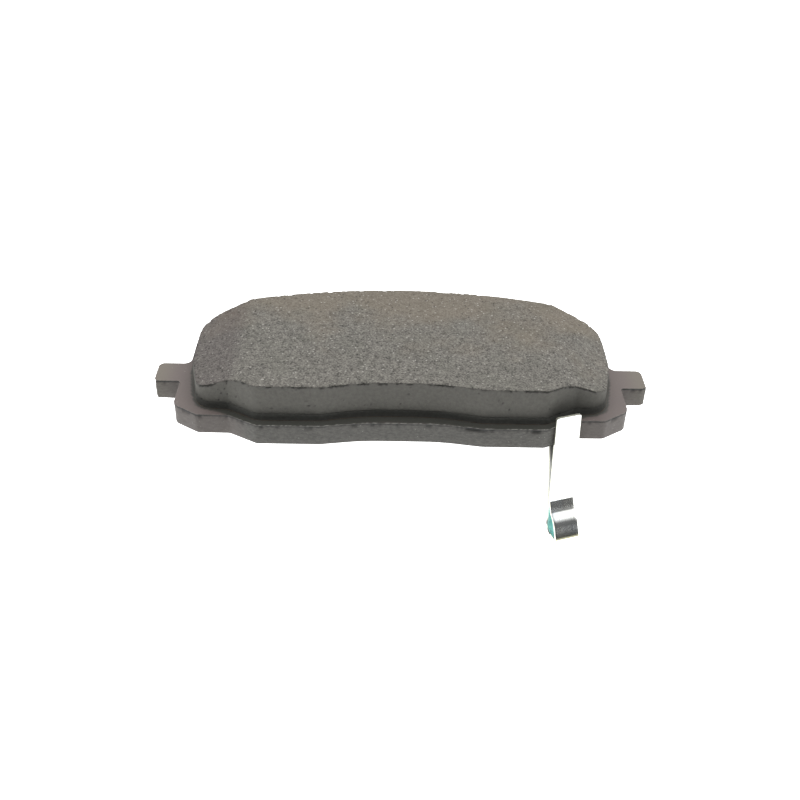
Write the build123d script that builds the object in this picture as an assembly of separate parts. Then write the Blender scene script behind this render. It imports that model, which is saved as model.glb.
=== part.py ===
from build123d import *
import os
from math import cos, radians, sin, tan

# Disc brake pad, in millimetres.
# Frame: X runs along the pad from ear to ear, +Y points to the disc's rim, and +Z points from the
# back contact face towards the disc. The origin is the centre of the back contact face, where the
# piston presses, on the plane that halves the plate.

# Layers, from the piston side to the disc side
SHIM_RUBBER_THICK = 0.15        # each of the two rubber coats on the shim
SHIM_STEEL_THICK = 0.5
SHIM_ADHESIVE_THICK = 0.1
PLATE_THICK = 6.4
BOND_THICK = 0.1                # bonding adhesive under the friction material
UNDERLAYER_THICK = 1.9
FRICTION_THICK = 9.0

# Backing plate
EAR_SPAN = 144.0                # end face to end face, what the caliper bracket guides
EAR_LOW_Y = -8.6
EAR_HIGH_Y = 0.7
PLATE_NEAR_Y = -29.3            # straight stretches of the edge nearer the hub
PLATE_FAR_Y = 29.0              # crown of the rim-side edge
PLATE_RIM_RADIUS = 159.0
PLATE_FAR_CORNER_RADIUS = 6.0
DIE_ROLL = 0.3                  # edge that stamping draws round on the back face

# Friction material
LINING_NEAR_Y = -26.3
LINING_FAR_Y = 27.5
LINING_RIM_RADIUS = 157.0
LINING_FAR_CORNER_RADIUS = 9.5
LINING_HALF_LENGTH = 60.8
LINING_DRAFT = 2.0              # degrees that the pressed walls lean
FLASH = 0.3                     # how far the underlayer squeezes out past the block
END_CHAMFER_START = 45.3        # half length of the flat rubbing face, at y = 0
END_CHAMFER_SPLAY = 2.75        # degrees that the two chamfers spread apart towards the rim
END_CHAMFER_SLOPE = 0.36        # fall of the lead-in chamfer for each millimetre outwards

# The scalloped dip at the middle of the near edge, shared by plate and lining
PLATE_SCALLOP_DEPTH = 1.9
LINING_SCALLOP_DEPTH = 2.6
SCALLOP_TOP_X = 10.7
SCALLOP_FOOT_X = 22.5
SCALLOP_TOP_RADIUS = 60.0
SCALLOP_FOOT_RADIUS = 12.0

# Moulding holes through the plate, filled by plugs of the underlayer
KEY_HOLE_RADIUS = 4.5
KEY_HOLE_X = 47.0
KEY_HOLE_Y = 4.0
KEY_PLUG_RECESS = 0.3           # how far the plug stops short of the plate's back

# Noise shim
SHIM_HALF_LENGTH = 33.0
SHIM_INSET = 2.5
SHIM_CORNER_RADIUS = 5.0
PIP_RADIUS = 2.5                # studs half-sheared out of the plate, which the shim sits over
PIP_HEIGHT = 0.7
PIP_X = 26.0
PIP_Y = 4.0
PIP_CLEARANCE = 0.1

# Wear indicator: a sprung hairpin of strip steel on one rivet
STRIP_WIDTH = 7.5
STRIP_THICK = 0.8
STRIP_TURN = 18.0               # degrees that the strip's face is turned from facing -Y
STRIP_CENTRE = (46.06, -26.85)  # middle of the strip's width, where its profile has w = 0
STRIP_TIP_RADIUS = 0.5
FOOT_CORNER_RADIUS = 2.0
RIVET_W = -7.5                  # places along the foot, inwards from w = 0
FOOT_PIP_W = -12.8
FOOT_PIP_RADIUS = 1.1
RIVET_RADIUS = 2.0
RIVET_HEAD_RADIUS = 3.4
RIVET_HEAD_DEPTH = 1.4
RIVET_TAIL_RADIUS = 3.1
RIVET_TAIL_HEIGHT = 1.2
RIVET_TAIL_ROUNDING = 0.96
RIVET_CLEARANCE = 0.05

# Levels along Z
STEEL_Z = SHIM_RUBBER_THICK
INNER_RUBBER_Z = STEEL_Z + SHIM_STEEL_THICK
SHIM_ADHESIVE_Z = INNER_RUBBER_Z + SHIM_RUBBER_THICK
PLATE_BACK_Z = SHIM_ADHESIVE_Z + SHIM_ADHESIVE_THICK
PLATE_FRONT_Z = PLATE_BACK_Z + PLATE_THICK
UNDERLAYER_Z = PLATE_FRONT_Z + BOND_THICK
FRICTION_Z = UNDERLAYER_Z + UNDERLAYER_THICK
RUB_FACE_Z = FRICTION_Z + FRICTION_THICK
TOO_FAR = 80.0                  # beyond every outline, for blanks that an arc trims


def rounded_face(corners):
    """A closed face through corners given as (x, y, radius)."""
    points = [(x, y) for x, y, _ in corners]
    radii = [radius for _, _, radius in corners]
    return make_face(FilletPolyline(*points, radius=radii, close=True))


def mirrored(right_half):
    """Corners of a whole outline from those of its right half."""
    return right_half + [(-x, y, radius) for x, y, radius in reversed(right_half)]


def crowned(blank, crown_y, crown_radius, corner_radius):
    """The blank trimmed by the rim-side arc, with its two far corners rounded."""
    arc_centre = (0, crown_y - crown_radius)
    trimmed = blank & (Pos(*arc_centre) * Circle(crown_radius))
    far_corners = trimmed.vertices().sort_by(Axis.Y)[-2:]
    return fillet(far_corners, corner_radius)


def scallop(near_y, depth):
    """Corners of the right half of the dip in the near edge."""
    return [
        (SCALLOP_TOP_X, near_y + depth, SCALLOP_TOP_RADIUS),
        (SCALLOP_FOOT_X, near_y, SCALLOP_FOOT_RADIUS),
    ]


def plate_outline():
    ear_x = EAR_SPAN / 2
    right_half = scallop(PLATE_NEAR_Y, PLATE_SCALLOP_DEPTH) + [
        (40.2, PLATE_NEAR_Y, 2.5),
        (48.2, -24.8, 2.5),
        (57.2, -24.7, 2.5),
        (64.4, -20.0, 3.0),
        (64.4, EAR_LOW_Y, 0.8),
        (ear_x, EAR_LOW_Y, 0.6),
        (ear_x, EAR_HIGH_Y, 1.8),
        (62.75, EAR_HIGH_Y, 2.2),
        (62.75, TOO_FAR, 0),
    ]
    blank = rounded_face(mirrored(right_half))
    return crowned(blank, PLATE_FAR_Y, PLATE_RIM_RADIUS, PLATE_FAR_CORNER_RADIUS)


def lining_outline():
    right_half = scallop(LINING_NEAR_Y, LINING_SCALLOP_DEPTH) + [
        (40.2, LINING_NEAR_Y, 4.0),
        (48.4, -21.5, 3.0),
        (57.0, -21.0, 5.5),
        (LINING_HALF_LENGTH, -5.0, 30.0),
        (LINING_HALF_LENGTH, TOO_FAR, 0),
    ]
    blank = rounded_face(mirrored(right_half))
    return crowned(blank, LINING_FAR_Y, LINING_RIM_RADIUS, LINING_FAR_CORNER_RADIUS)


def shim_outline():
    middle = Rectangle(2 * SHIM_HALF_LENGTH, 2 * TOO_FAR)
    blank = offset(plate_outline(), -SHIM_INSET) & middle
    corners = blank.vertices().filter_by(lambda v: abs(abs(v.X) - SHIM_HALF_LENGTH) < 0.01)
    return fillet(corners, SHIM_CORNER_RADIUS)


def strip_plane(w=0.0):
    """Plane of the strip's side profile: local X is outwards (w), local Y is up, at mid width."""
    turn = radians(STRIP_TURN)
    outward = Vector(sin(turn), -cos(turn), 0)
    along = Vector(cos(turn), sin(turn), 0)
    origin = Vector(*STRIP_CENTRE, PLATE_BACK_Z) + outward * w
    return Plane(origin=origin, x_dir=outward, z_dir=-along)


def at_foot(w, z):
    """Place upright things on the strip's foot, at w, with their base at height z."""
    origin = strip_plane(w).origin
    return Pos(origin.X, origin.Y, z)


def disc(radius, low, high):
    """An upright cylinder from low to high."""
    return Pos(0, 0, (low + high) / 2) * Cylinder(radius, high - low)


def layer(face, low, thick):
    """A flat layer of an outline, from low upwards."""
    return extrude(Pos(0, 0, low) * face, thick, dir=(0, 0, 1))


def at_both(x, y):
    """The places of a mirrored pair of features."""
    return [Pos(side * x, y) for side in (-1, 1)]


def friction_block():
    """The rubbing block: walls with a little draft, and a lead-in chamfer at each end."""
    block = extrude(Pos(0, 0, RUB_FACE_Z) * lining_outline(), -FRICTION_THICK, taper=-LINING_DRAFT)
    reach = TOO_FAR - END_CHAMFER_START
    wedge_side = Polyline(
        (END_CHAMFER_START, RUB_FACE_Z),
        (TOO_FAR, RUB_FACE_Z),
        (TOO_FAR, RUB_FACE_Z - reach * END_CHAMFER_SLOPE),
        close=True,
    )
    splay = Pos(END_CHAMFER_START, 0, 0) * Rot(0, 0, -END_CHAMFER_SPLAY) * Pos(-END_CHAMFER_START, 0, 0)
    wedge = splay * extrude(Plane.XZ * make_face(wedge_side), TOO_FAR, both=True)
    return block - wedge - mirror(wedge, Plane.YZ)


def lining_base():
    """Footprint of the underlayer and of its adhesive."""
    spread = FLASH + FRICTION_THICK * tan(radians(LINING_DRAFT))
    return offset(lining_outline(), spread)


def underlayer():
    body = layer(lining_base(), UNDERLAYER_Z, UNDERLAYER_THICK)
    for place in at_both(KEY_HOLE_X, KEY_HOLE_Y):
        body += place * disc(KEY_HOLE_RADIUS, PLATE_BACK_Z + KEY_PLUG_RECESS, UNDERLAYER_Z)
    return body


def bonding_adhesive():
    film = layer(lining_base(), PLATE_FRONT_Z, BOND_THICK)
    for place in at_both(KEY_HOLE_X, KEY_HOLE_Y):
        film -= place * disc(KEY_HOLE_RADIUS, PLATE_BACK_Z, FRICTION_Z)
    return film


def rivet():
    """Rivet whose coned head is sunk under the lining and whose tail is closed over the foot."""
    foot_back_z = PLATE_BACK_Z - STRIP_THICK
    head_z = PLATE_FRONT_Z - RIVET_HEAD_DEPTH
    countersink = Cone(RIVET_RADIUS, RIVET_HEAD_RADIUS, RIVET_HEAD_DEPTH)
    head = Pos(0, 0, PLATE_FRONT_Z - RIVET_HEAD_DEPTH / 2) * countersink
    shank = disc(RIVET_RADIUS, foot_back_z, head_z)
    tail = disc(RIVET_TAIL_RADIUS, foot_back_z - RIVET_TAIL_HEIGHT, foot_back_z)
    tail = fillet(tail.edges().sort_by(Axis.Z)[0], RIVET_TAIL_ROUNDING)
    return at_foot(RIVET_W, 0) * (head + shank + tail)


def backing_plate():
    plate = layer(plate_outline(), PLATE_BACK_Z, PLATE_THICK)
    back_face = plate.faces().sort_by(Axis.Z)[0]
    plate = fillet(back_face.edges(), DIE_ROLL)
    for place in at_both(KEY_HOLE_X, KEY_HOLE_Y):
        plate -= place * disc(KEY_HOLE_RADIUS, 0, UNDERLAYER_Z)
    for place in at_both(PIP_X, PIP_Y):
        plate += place * disc(PIP_RADIUS, PLATE_BACK_Z - PIP_HEIGHT, PLATE_BACK_Z)
    plate += at_foot(FOOT_PIP_W, 0) * disc(FOOT_PIP_RADIUS, PLATE_BACK_Z - PIP_HEIGHT, PLATE_BACK_Z)
    return plate - rivet()


def shim_layer(low, thick):
    """One layer of the shim, with the holes that fit over the plate's two studs."""
    sheet = layer(shim_outline(), low, thick)
    for place in at_both(PIP_X, PIP_Y):
        sheet -= place * disc(PIP_RADIUS + PIP_CLEARANCE, low, low + thick)
    return sheet


def strip_profile():
    """Side view of the strip, as its centre line of (w, height) with a bend at each corner."""
    half = STRIP_THICK / 2
    route = [
        (-16.0, -half, 0),      # end of the foot
        (-1.75, -half, 1.3),    # bend at the plate's back
        (2.9, -23.8, 8.0),      # the rear leg bows out a little
        (3.1, -28.75, 2.6),     # foot of the rear leg
        (9.6, -28.75, 0.8),     # bottom of the loop
        (7.1, -23.75, 5.0),      # nose of the loop
        (4.4, -21.55, 2.0),
        (2.7, -18.35, 1.5),      # the loop closes on the rear leg
        (0.2, 9.7, 0),          # free tip, beside the disc
    ]
    points = [(w, height) for w, height, _ in route]
    radii = [radius for _, _, radius in route[1:-1]]
    centre_line = FilletPolyline(*points, radius=radii)
    front = centre_line.offset_2d(half, side=Side.LEFT, closed=False)
    back = centre_line.offset_2d(half, side=Side.RIGHT, closed=False)
    ends = sorted([front @ 0, front @ 1, back @ 0, back @ 1], key=lambda point: point.Y)
    tip = Line(ends[2], ends[3])
    heel = Line(ends[0], ends[1])
    return make_face([*front.edges(), tip, *back.edges(), heel])


def wear_indicator():
    strip = extrude(strip_plane() * strip_profile(), STRIP_WIDTH / 2, both=True)
    through = strip_plane().x_dir
    tip_edges = strip.edges().sort_by(Axis.Z)[-4:].filter_by(lambda edge: abs((edge % 0).dot(through)) > 0.9)
    strip = fillet(tip_edges, STRIP_TIP_RADIUS)
    heel_edges = strip.edges().filter_by(Axis.Z).sort_by(Axis.Y)[-2:]
    strip = fillet(heel_edges, FOOT_CORNER_RADIUS)
    foot_back_z = PLATE_BACK_Z - STRIP_THICK
    strip -= at_foot(RIVET_W, 0) * disc(RIVET_RADIUS + RIVET_CLEARANCE, foot_back_z, PLATE_BACK_Z)
    strip -= at_foot(FOOT_PIP_W, 0) * disc(FOOT_PIP_RADIUS + PIP_CLEARANCE, foot_back_z, PLATE_BACK_Z)
    return strip


PARTS = {
    "backing_plate": backing_plate(),
    "bonding_adhesive": bonding_adhesive(),
    "underlayer": underlayer(),
    "friction_block": friction_block(),
    "wear_indicator": wear_indicator(),
    "wear_indicator_rivet": rivet(),
    "shim_adhesive": shim_layer(SHIM_ADHESIVE_Z, SHIM_ADHESIVE_THICK),
    "shim_inner_rubber": shim_layer(INNER_RUBBER_Z, SHIM_RUBBER_THICK),
    "shim_steel": shim_layer(STEEL_Z, SHIM_STEEL_THICK),
    "shim_outer_rubber": shim_layer(0, SHIM_RUBBER_THICK),
}

os.makedirs("parts", exist_ok=True)
for name, solid in PARTS.items():
    export_step(solid, f"parts/{name}.step")
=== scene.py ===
"""Disc brake pad: the detailed meshes, materials, light and camera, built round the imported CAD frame.

Everything is in metres, in the row frame: +X from ear to ear, +Y to the disc's rim, +Z to the disc.
"""

import math

import bpy
import numpy as np
from mathutils import Matrix, Vector, geometry, kdtree, noise


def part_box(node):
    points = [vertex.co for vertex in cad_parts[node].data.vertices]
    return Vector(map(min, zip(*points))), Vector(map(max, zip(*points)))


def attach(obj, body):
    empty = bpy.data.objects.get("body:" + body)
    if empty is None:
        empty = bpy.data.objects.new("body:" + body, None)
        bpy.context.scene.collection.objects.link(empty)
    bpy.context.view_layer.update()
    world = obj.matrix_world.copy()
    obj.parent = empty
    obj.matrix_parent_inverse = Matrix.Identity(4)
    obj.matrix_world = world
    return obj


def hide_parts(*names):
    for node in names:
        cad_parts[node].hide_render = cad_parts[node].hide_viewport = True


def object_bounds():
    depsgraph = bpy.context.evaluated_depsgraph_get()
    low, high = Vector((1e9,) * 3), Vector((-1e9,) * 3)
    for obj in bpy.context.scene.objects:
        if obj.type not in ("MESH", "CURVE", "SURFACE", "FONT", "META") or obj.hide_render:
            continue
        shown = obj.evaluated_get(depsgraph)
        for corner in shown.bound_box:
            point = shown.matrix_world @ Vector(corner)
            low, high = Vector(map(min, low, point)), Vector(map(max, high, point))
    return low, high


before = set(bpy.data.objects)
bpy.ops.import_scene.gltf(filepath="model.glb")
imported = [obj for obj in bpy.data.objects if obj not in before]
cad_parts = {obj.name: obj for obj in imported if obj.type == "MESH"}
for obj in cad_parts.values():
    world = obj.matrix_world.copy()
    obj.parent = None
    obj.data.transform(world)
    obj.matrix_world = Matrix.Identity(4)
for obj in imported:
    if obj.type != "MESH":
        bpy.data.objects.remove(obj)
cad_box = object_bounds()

MM = 0.001

# Levels and layers, read from the frame
PLATE_LOW, PLATE_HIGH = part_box("backing_plate")
_, FILM_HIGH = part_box("bonding_adhesive")
UNDER_LOW, UNDER_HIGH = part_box("underlayer")
BLOCK_LOW, BLOCK_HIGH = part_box("friction_block")
RIVET_LOW, RIVET_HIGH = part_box("wear_indicator_rivet")
_, SHIM_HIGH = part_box("shim_adhesive")

PLATE_BACK_Z = SHIM_HIGH.z              # the plate's flat back, which its studs stand out of
PLATE_FRONT_Z = PLATE_HIGH.z
RUB_FACE_Z = BLOCK_HIGH.z

# Spacing of mesh points
FINE_STEP = 0.38 * MM                   # on the granular surfaces
COARSE_STEP = 0.6 * MM                  # on the plate
ROUTE_STEP = 0.5 * MM                   # along the strip
CIRCLE_POINTS = 48

# Friction block
CHAMFER_START = 45.3 * MM               # half length of the flat rubbing face, at y = 0
CHAMFER_SPLAY = math.radians(2.75)      # how far the two chamfers spread apart towards the rim
CHAMFER_SLOPE = 0.36
DRAFT = 0.314 * MM                      # how far the block's wall leans in between its foot and its rim
WALL_SHARES = [*np.linspace(0, 0.93, 24), 0.95, 0.967, 0.984, 1.0]      # rings of the wall, up its height
TOP_DEPTH = 0.02 * MM                   # points nearer than this to the top belong to the rubbing face
CHIP_WIDTH = 0.6 * MM                   # band along the rubbing face's edge that crumbles
PIT_REACH = 7.5 * MM                    # pits open only this far down the wall
GLUED_HEIGHT = 0.05 * MM                # the lowest part of the wall, which nothing wears
RELIEF_MM = {"chips": 0.34, "crumbs": 0.09, "pits": 0.22, "granular": 0.06, "skin": 0.06}

# Underlayer
FLASH = 0.3 * MM                        # how far its foot stands out past the block
FLASH_UNEVENNESS = 0.10 * MM
PLUG_ROUNDING = 0.3 * MM

# Backing plate
DIE_ROLL = 0.3 * MM                     # edge that stamping draws round on the plate's back
BURR_HEIGHT = 0.05 * MM
HEAD_DEPTH = 1.4 * MM                   # sunk head of the rivet
STUD_ROUNDING = 0.2 * MM
SAME_PLACE = 0.5 * MM                   # holes in front and back nearer than this are one through hole
NEAR_EDGE_Y = -20 * MM                  # outline points beyond this are on the near edge
LOBE_TURN = (42 * MM, 47 * MM)          # distance from the middle where the near edge becomes a lobe
EAR_REACH = (64 * MM, 71 * MM)          # distance from the middle along which an ear stands out
TORN_SPOTS = (19.5 * MM, 37.5 * MM)     # where the plate's near edge tore as it was stamped
TORN_LENGTH = 2.3 * MM
SHEAR_ROWS = (                          # mm below the front face, share of tear, share of crack line
    (4.6, 0, 0), (3.4, 0, 0), (2.5, 0, 0), (1.9, 0, 0),
    (1.5, 0.15, 0), (1.2, 0.5, 0), (0.95, 0.85, 0), (0.75, 1.0, 0.05), (0.58, 1.0, 0.3),
    (0.42, 0.9, 0.7), (0.28, 0.6, 0.85), (0.15, 0.3, 0.5), (0.05, 0.1, 0.1),
)

# Wear indicator, as in the CAD source
STRIP_TURN = math.radians(18.0)
STRIP_CENTRE = Vector((46.06 * MM, -26.85 * MM, PLATE_BACK_Z))
STRIP_HALF_WIDTH = 3.75 * MM
STRIP_HALF_THICK = 0.4 * MM
STRIP_EDGE_RADIUS = 0.13 * MM
TIP_RADIUS = 0.5 * MM
FOOT_RADIUS = 2.0 * MM
RIVET_W = -7.5 * MM
RIVET_HOLE_RADIUS = 2.05 * MM
FOOT_PIP_W = -12.8 * MM
FOOT_PIP_HOLE_RADIUS = 1.2 * MM
REAR_LEG_END = (0.46, 0.5)              # shares of the strip's length between which its rear leg ends
FRONT_LEG_START = 0.6                   # share of the strip's length where its front leg starts
STRIP_ROUTE = [                         # (outwards, height, bend radius) of the centre line, in mm
    (-16.0, -0.4, 0),
    (-1.75, -0.4, 1.3),
    (2.9, -23.8, 8.0),
    (3.1, -28.75, 2.6),
    (9.6, -28.75, 0.8),
    (7.1, -23.75, 5.0),
    (4.4, -21.55, 2.0),
    (2.7, -18.35, 1.5),
    (0.2, 9.7, 0),
]


# ---------------------------------------------------------------- noise and shape helpers

def grain(points, size, seed=0.0, octaves=3):
    """Fractal noise of about -1 to 1 at each point, with lumps of about the given size."""
    shift = Vector((seed * 7.31, seed * 3.17, seed * 5.93))
    return np.array([noise.fractal(Vector(p) / size + shift, 1.0, 2.0, octaves) for p in points])


def cells(points, size, seed=0.0):
    """Distance to the nearest of scattered points, in lumps of the given size: 0 at their centres."""
    shift = Vector((seed * 2.71, seed * 6.13, seed * 4.19))
    return np.array([noise.voronoi(Vector(p) / size + shift)[0][0] for p in points])


def smooth_step(low, high, value):
    """0 below low, 1 above high, smooth between them."""
    t = np.clip((np.asarray(value) - low) / (high - low), 0, 1)
    return t * t * (3 - 2 * t)


def face_loops(node, level, up):
    """Outlines of a CAD node's flat faces at a level, longest first, as arrays of (x, y)."""
    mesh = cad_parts[node].data
    key = [(round(v.co.x, 7), round(v.co.y, 7)) for v in mesh.vertices]
    uses = {}
    on_level = [abs(v.co.z - level) < 0.001 * MM for v in mesh.vertices]
    for polygon in mesh.polygons:
        if all(on_level[i] for i in polygon.vertices) and polygon.normal.z * up > 0.99:
            corners = [key[i] for i in polygon.vertices]
            for start, end in zip(corners, corners[1:] + corners[:1]):
                uses.setdefault(frozenset((start, end)), []).append((start, end))
    following = {}
    for directed in uses.values():
        if len(directed) == 1:
            following[directed[0][0]] = directed[0][1]
    loops = []
    while following:
        start, point = following.popitem()
        loop = [start]
        while point != start:
            loop.append(point)
            point = following.pop(point)
        loops.append(np.array(loop))
    return sorted(loops, key=lambda loop: -loop_length(loop))


def loop_length(loop):
    return float(np.linalg.norm(np.roll(loop, -1, 0) - loop, axis=1).sum())


def counter_clockwise(loop):
    following = np.roll(loop, -1, 0)
    area = (loop[:, 0] * following[:, 1] - following[:, 0] * loop[:, 1]).sum()
    return loop if area > 0 else loop[::-1]


def divided(loop, step):
    """The loop with its long segments divided to about the step."""
    points = []
    for start, end in zip(loop, np.roll(loop, -1, 0)):
        pieces = max(1, round(float(np.linalg.norm(end - start)) / step))
        points += [start + (end - start) * i / pieces for i in range(pieces)]
    points = np.array(points)
    gap = np.linalg.norm(np.roll(points, -1, 0) - points, axis=1)
    return points[gap > step * 0.15]


def loop_normals(loop):
    """Outward normals of a counter-clockwise loop."""
    along = np.roll(loop, -1, 0) - np.roll(loop, 1, 0)
    along /= np.linalg.norm(along, axis=1)[:, None]
    return np.stack([along[:, 1], -along[:, 0]], 1)


def ring(loop, inset, height):
    """A loop of 3-D points: the outline moved in by inset, at a height. Both may vary along it."""
    flat = loop - loop_normals(loop) * np.reshape(inset, (-1, 1))
    return np.column_stack([flat, np.broadcast_to(height, len(loop))])


def on_ground(loop):
    """The loop's points at height 0."""
    return np.column_stack([loop, np.zeros(len(loop))])


def circle(centre, radius, height, count=CIRCLE_POINTS):
    """A level circle of 3-D points, counter-clockwise from above."""
    turn = np.linspace(0, 2 * math.pi, count, endpoint=False)
    x = centre[0] + radius * np.cos(turn)
    y = centre[1] + radius * np.sin(turn)
    return np.column_stack([x, y, np.full(count, height)])


def mean_radius(hole, centre):
    """Mean distance of a hole's outline from a centre."""
    return float(np.linalg.norm(hole - centre, axis=1).mean())


def level_at(height):
    """The height function of a flat cap."""
    return lambda points: np.full(len(points), height)


def inside(points, loop):
    """Which (x, y) points lie inside a closed loop."""
    found = np.zeros(len(points), bool)
    for (x0, y0), (x1, y1) in zip(loop, np.roll(loop, -1, 0)):
        spans = (y0 > points[:, 1]) != (y1 > points[:, 1])
        if y0 != y1:
            crossing = x0 + (points[:, 1] - y0) * (x1 - x0) / (y1 - y0)
            found ^= spans & (points[:, 0] < crossing)
    return found


class Shell:
    """Collects rings, walls and caps of points, and makes them one mesh object."""

    def __init__(self):
        self.points = []
        self.faces = []

    def add(self, points):
        start = len(self.points)
        self.points += [tuple(p) for p in points]
        return list(range(start, start + len(points)))

    def wall(self, lower, upper):
        """Quads between two rings of the same count; the outside is on the right of lower."""
        count = len(lower)
        for i in range(count):
            j = (i + 1) % count
            self.faces.append((lower[i], lower[j], upper[j], upper[i]))

    def walls(self, rings):
        """Walls through several rings of points, and the indices of the first and last ring."""
        placed = [self.add(points) for points in rings]
        for lower, upper in zip(placed, placed[1:]):
            self.wall(lower, upper)
        return placed[0], placed[-1]

    def cap(self, outer, holes, up, inner=(), height=None):
        """Triangles between an outer ring and hole rings, through optional inner (x, y) points."""
        rings = [outer, *holes]
        indices = [i for one in rings for i in one]
        flat = [Vector(self.points[i][:2]) for i in indices]
        edges = []
        first = 0
        for one in rings:
            edges += [(first + i, first + (i + 1) % len(one)) for i in range(len(one))]
            first += len(one)
        if len(inner):
            lifted = np.column_stack([inner, height(inner)])
            indices += self.add(lifted)
            flat += [Vector(p) for p in inner]
        corners, _, triangles, origins, _, _ = geometry.delaunay_2d_cdt(flat, edges, [], 0, 1e-9)
        source = [indices[origin[0]] for origin in origins]
        triangles = np.array(triangles)
        centres = np.array([corner[:] for corner in corners])[triangles].mean(1)
        kept = inside(centres, np.array([self.points[i][:2] for i in outer]))
        for hole in holes:
            kept &= ~inside(centres, np.array([self.points[i][:2] for i in hole]))
        for a, b, c in triangles[kept]:
            order = (a, b, c) if up else (a, c, b)
            self.faces.append(tuple(source[i] for i in order))

    def piece(self, name, smooth_angle=40.0):
        mesh = bpy.data.meshes.new(name)
        mesh.from_pydata(self.points, [], self.faces)
        return finished(name, mesh, smooth_angle)


def finished(name, mesh, smooth_angle):
    """An object of the mesh, smooth except across edges sharper than the angle."""
    mesh.validate()
    piece = bpy.data.objects.new(name, mesh)
    bpy.context.scene.collection.objects.link(piece)
    mesh.shade_smooth()
    mesh.set_sharp_from_angle(angle=math.radians(smooth_angle))
    return piece


def coordinates(mesh):
    flat = np.empty(len(mesh.vertices) * 3)
    mesh.vertices.foreach_get("co", flat)
    return flat.reshape(-1, 3)


def normals(mesh):
    flat = np.empty(len(mesh.vertices) * 3)
    mesh.vertices.foreach_get("normal", flat)
    return flat.reshape(-1, 3)


def set_coordinates(mesh, points):
    mesh.vertices.foreach_set("co", points.ravel())
    mesh.update()


def paint(mesh, name, values):
    """A number on each vertex, which a material reads by name."""
    layer = mesh.attributes.new(name, "FLOAT", "POINT")
    layer.data.foreach_set("value", np.asarray(values, np.float32))


# ---------------------------------------------------------------- material helpers

def add_node(tree, kind, inputs=None, **settings):
    """A shader node with its settings made, and its inputs set to values or linked to sockets."""
    made = tree.nodes.new(kind)
    for name, value in settings.items():
        setattr(made, name, value)
    for name, value in (inputs or {}).items():
        if isinstance(value, bpy.types.NodeSocket):
            tree.links.new(value, made.inputs[name])
        else:
            made.inputs[name].default_value = value
    return made


def new_material(name):
    material = bpy.data.materials.new(name)
    material.use_nodes = True
    tree = material.node_tree
    tree.nodes.clear()
    shader = add_node(tree, "ShaderNodeBsdfPrincipled")
    output = add_node(tree, "ShaderNodeOutputMaterial")
    tree.links.new(shader.outputs["BSDF"], output.inputs["Surface"])
    return material, tree, shader


def place(tree, scale=(1, 1, 1)):
    """Object coordinates in millimetres, stretched by scale."""
    spot = add_node(tree, "ShaderNodeTexCoord").outputs["Object"]
    size = [s / MM for s in scale]
    return add_node(tree, "ShaderNodeMapping", {"Vector": spot, "Scale": size}).outputs["Vector"]


def cloud(tree, spot, size, detail=3.0, rough=0.55):
    """Noise with lumps of the given size in millimetres, from 0 to 1."""
    settings = {"Vector": spot, "Scale": 1 / size, "Detail": detail, "Roughness": rough}
    return add_node(tree, "ShaderNodeTexNoise", settings).outputs["Fac"]


def specks(tree, spot, spacing, low, high):
    """1 at the centres of scattered specks, some of them faint, falling to 0 between low and high."""
    spots = add_node(tree, "ShaderNodeTexVoronoi", {"Vector": spot, "Scale": 1 / spacing})
    chosen = rise(tree, spots.outputs["Color"], 0.35, 0.75)
    return scaled(tree, fall(tree, spots.outputs["Distance"], low, high), chosen)


def fall(tree, value, low, high):
    """1 below low, 0 above high."""
    settings = {"Value": value, "From Min": low, "From Max": high, "To Min": 1.0, "To Max": 0.0}
    return add_node(tree, "ShaderNodeMapRange", settings, interpolation_type="SMOOTHSTEP").outputs["Result"]


def rise(tree, value, low, high):
    """0 below low, 1 above high."""
    settings = {"Value": value, "From Min": low, "From Max": high}
    return add_node(tree, "ShaderNodeMapRange", settings, interpolation_type="SMOOTHSTEP").outputs["Result"]


def combine(tree, operation, a, b):
    """A sum, product or other arithmetic of two sockets or numbers."""
    made = add_node(tree, "ShaderNodeMath", operation=operation)
    for i, value in enumerate((a, b)):
        if isinstance(value, bpy.types.NodeSocket):
            tree.links.new(value, made.inputs[i])
        else:
            made.inputs[i].default_value = value
    return made.outputs[0]


def scaled(tree, value, factor):
    """The value times a socket or number."""
    return combine(tree, "MULTIPLY", value, factor)


def between(tree, value, low, high):
    """A value of 0 to 1, stretched to run from low to high."""
    settings = {"Value": value, "To Min": low, "To Max": high}
    return add_node(tree, "ShaderNodeMapRange", settings).outputs["Result"]


def blend_colour(tree, factor, a, b):
    """Colour a where factor is 0, colour b where it is 1. Each is a socket or (r, g, b)."""
    made = add_node(tree, "ShaderNodeMix", data_type="RGBA")
    for index, value in ((0, factor), (6, a), (7, b)):      # the node's sockets for a factor and two colours
        if isinstance(value, bpy.types.NodeSocket):
            tree.links.new(value, made.inputs[index])
        else:
            made.inputs[index].default_value = value if index == 0 else (*value, 1.0)
    return made.outputs[2]


def painted(tree, name):
    """The number painted on the mesh under a name."""
    return add_node(tree, "ShaderNodeAttribute", attribute_name=name).outputs["Fac"]


def bump(tree, height, distance_mm, under=None):
    """A bump of the given depth, over another one if there is one."""
    inputs = {"Height": height, "Distance": distance_mm * MM, "Strength": 1.0}
    if under is not None:
        inputs["Normal"] = under
    return add_node(tree, "ShaderNodeBump", inputs).outputs["Normal"]


# ---------------------------------------------------------------- materials

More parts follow.
